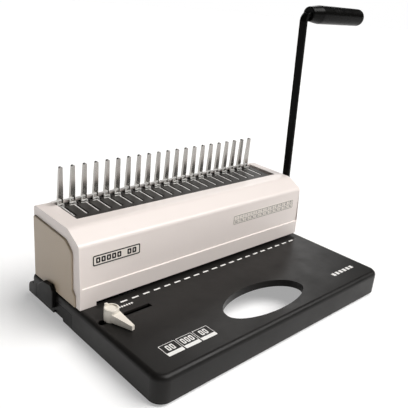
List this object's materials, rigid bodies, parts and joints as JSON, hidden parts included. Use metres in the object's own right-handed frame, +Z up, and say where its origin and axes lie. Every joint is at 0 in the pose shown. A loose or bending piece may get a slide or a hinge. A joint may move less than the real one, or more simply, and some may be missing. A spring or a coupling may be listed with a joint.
{
  "type": "comb binding machine",
  "caption": "Desk comb binding machine: lever-driven punches over a paper throat, comb fingers with sliding hooks on top, chip drawer and edge guide.",
  "frame": {"origin": "bottom centre of the whole machine's bounding box, lever and grip included", "axes": "+X along the row of fingers towards the lever, +Y to the back, +Z up; the user stands on the -Y side"},
  "size_m": [0.4738, 0.2354, 0.3306],
  "materials": {
    "base_black": "satin charcoal, very fine grain",
    "cover_cream": "warm light grey, soft satin",
    "drawer_black": "smooth black",
    "plate_grey": "glossy dark grey enamel",
    "bright_steel": "bright plating",
    "zinc_steel": "plain zinc-plated sheet",
    "tool_steel": "ground steel",
    "lever_black": "gloss black enamel",
    "grip_black": "gloss black",
    "knob_cream": "glossy cream",
    "label_light": "printed film",
    "foot_rubber": "black rubber",
    "floor_grey": "dark grey paint",
    "bush_bronze": "sintered bronze"
  },
  "bodies": {
    "machine": {"base_tray": "base_black", "bottom_plate": "floor_grey", "rubber_feet": "foot_rubber", "foot_screws": "zinc_steel", "bottom_screws": "zinc_steel", "main_cover": "cover_cream", "left_end_panel": "cover_cream", "right_end_panel": "cover_cream", "rear_cover": "cover_cream", "rear_screws": "zinc_steel", "slot_plate": "plate_grey", "slot_lips": "bright_steel", "name_badge": "label_light", "comb_chart": "label_light", "comb_fingers": "bright_steel", "finger_rail": "zinc_steel", "finger_rivets": "zinc_steel", "side_frame_left": "zinc_steel", "side_frame_right": "zinc_steel", "tie_rods": "zinc_steel", "frame_screws": "zinc_steel", "shaft_bushes": "bush_bronze", "die_block": "tool_steel", "paper_stop": "zinc_steel", "punch_guide": "tool_steel", "die_screws": "zinc_steel", "guide_posts": "tool_steel", "return_springs": "bright_steel", "hook_guides": "knob_cream"},
    "punch": {"punch_pins": "tool_steel", "punch_retainer": "zinc_steel", "punch_bar": "zinc_steel", "bar_screws": "zinc_steel"},
    "shaft": {"drive_shaft": "tool_steel", "punch_cams": "tool_steel", "cam_pins": "zinc_steel", "retaining_clips": "zinc_steel", "dog_pin": "tool_steel", "hub_washer": "zinc_steel", "hub_screw": "lever_black"},
    "lever": {"lever_bar": "lever_black", "lever_grip": "grip_black", "grip_end_cap": "grip_black", "lever_hub": "lever_black", "drive_pin": "tool_steel"},
    "hooks": {"comb_hooks": "bright_steel", "hook_rail": "zinc_steel", "hook_side_plate": "zinc_steel"},
    "drawer": {"chip_drawer": "drawer_black", "drawer_front": "drawer_black", "drawer_pull": "drawer_black"},
    "edge_guide": {"guide_carriage": "drawer_black", "edge_fence": "zinc_steel", "lock_stud": "zinc_steel", "friction_washer": "zinc_steel"},
    "knob": {"guide_knob": "knob_cream"}
  },
  "joints": [
    {"name": "punch_stroke", "type": "hinge", "parent": "machine", "child": "shaft", "pos_m": [-0.0621, 0.0428, 0.067], "axis": [1, 0, 0], "range_deg": [0, 80], "stiffness_Nm_per_rad": 0.5, "springref_deg": -22.92},
    {"name": "comb_open_stroke", "type": "hinge", "parent": "shaft", "child": "lever", "pos_m": [-0.0621, 0.0428, 0.067], "axis": [-1, 0, 0], "range_deg": [0, 45]},
    {"name": "punch_slide", "type": "slide", "parent": "machine", "child": "punch", "axis": [0, 0, -1], "range_m": [0, 0.009], "deforming": ["return_springs"]},
    {"name": "hook_slide", "type": "slide", "parent": "machine", "child": "hooks", "axis": [0, -1, 0], "range_m": [0, 0.0154]},
    {"name": "drawer_slide", "type": "slide", "parent": "machine", "child": "drawer", "axis": [-1, 0, 0], "range_m": [0, 0.3]},
    {"name": "edge_guide_slide", "type": "slide", "parent": "machine", "child": "edge_guide", "axis": [1, 0, 0], "range_m": [-0.008, 0.04]},
    {"name": "guide_lock", "type": "hinge", "parent": "edge_guide", "child": "knob", "pos_m": [-0.2136, -0.0188, 0.0312], "axis": [0, 0, 1], "range_deg": [0, 90]}
  ],
  "couplings": [
    {"joint": "punch_slide", "follows": "punch_stroke", "m_per_rad": 0.0064457},
    {"joint": "hook_slide", "follows": "comb_open_stroke", "m_per_rad": 0.0195}
  ]
}
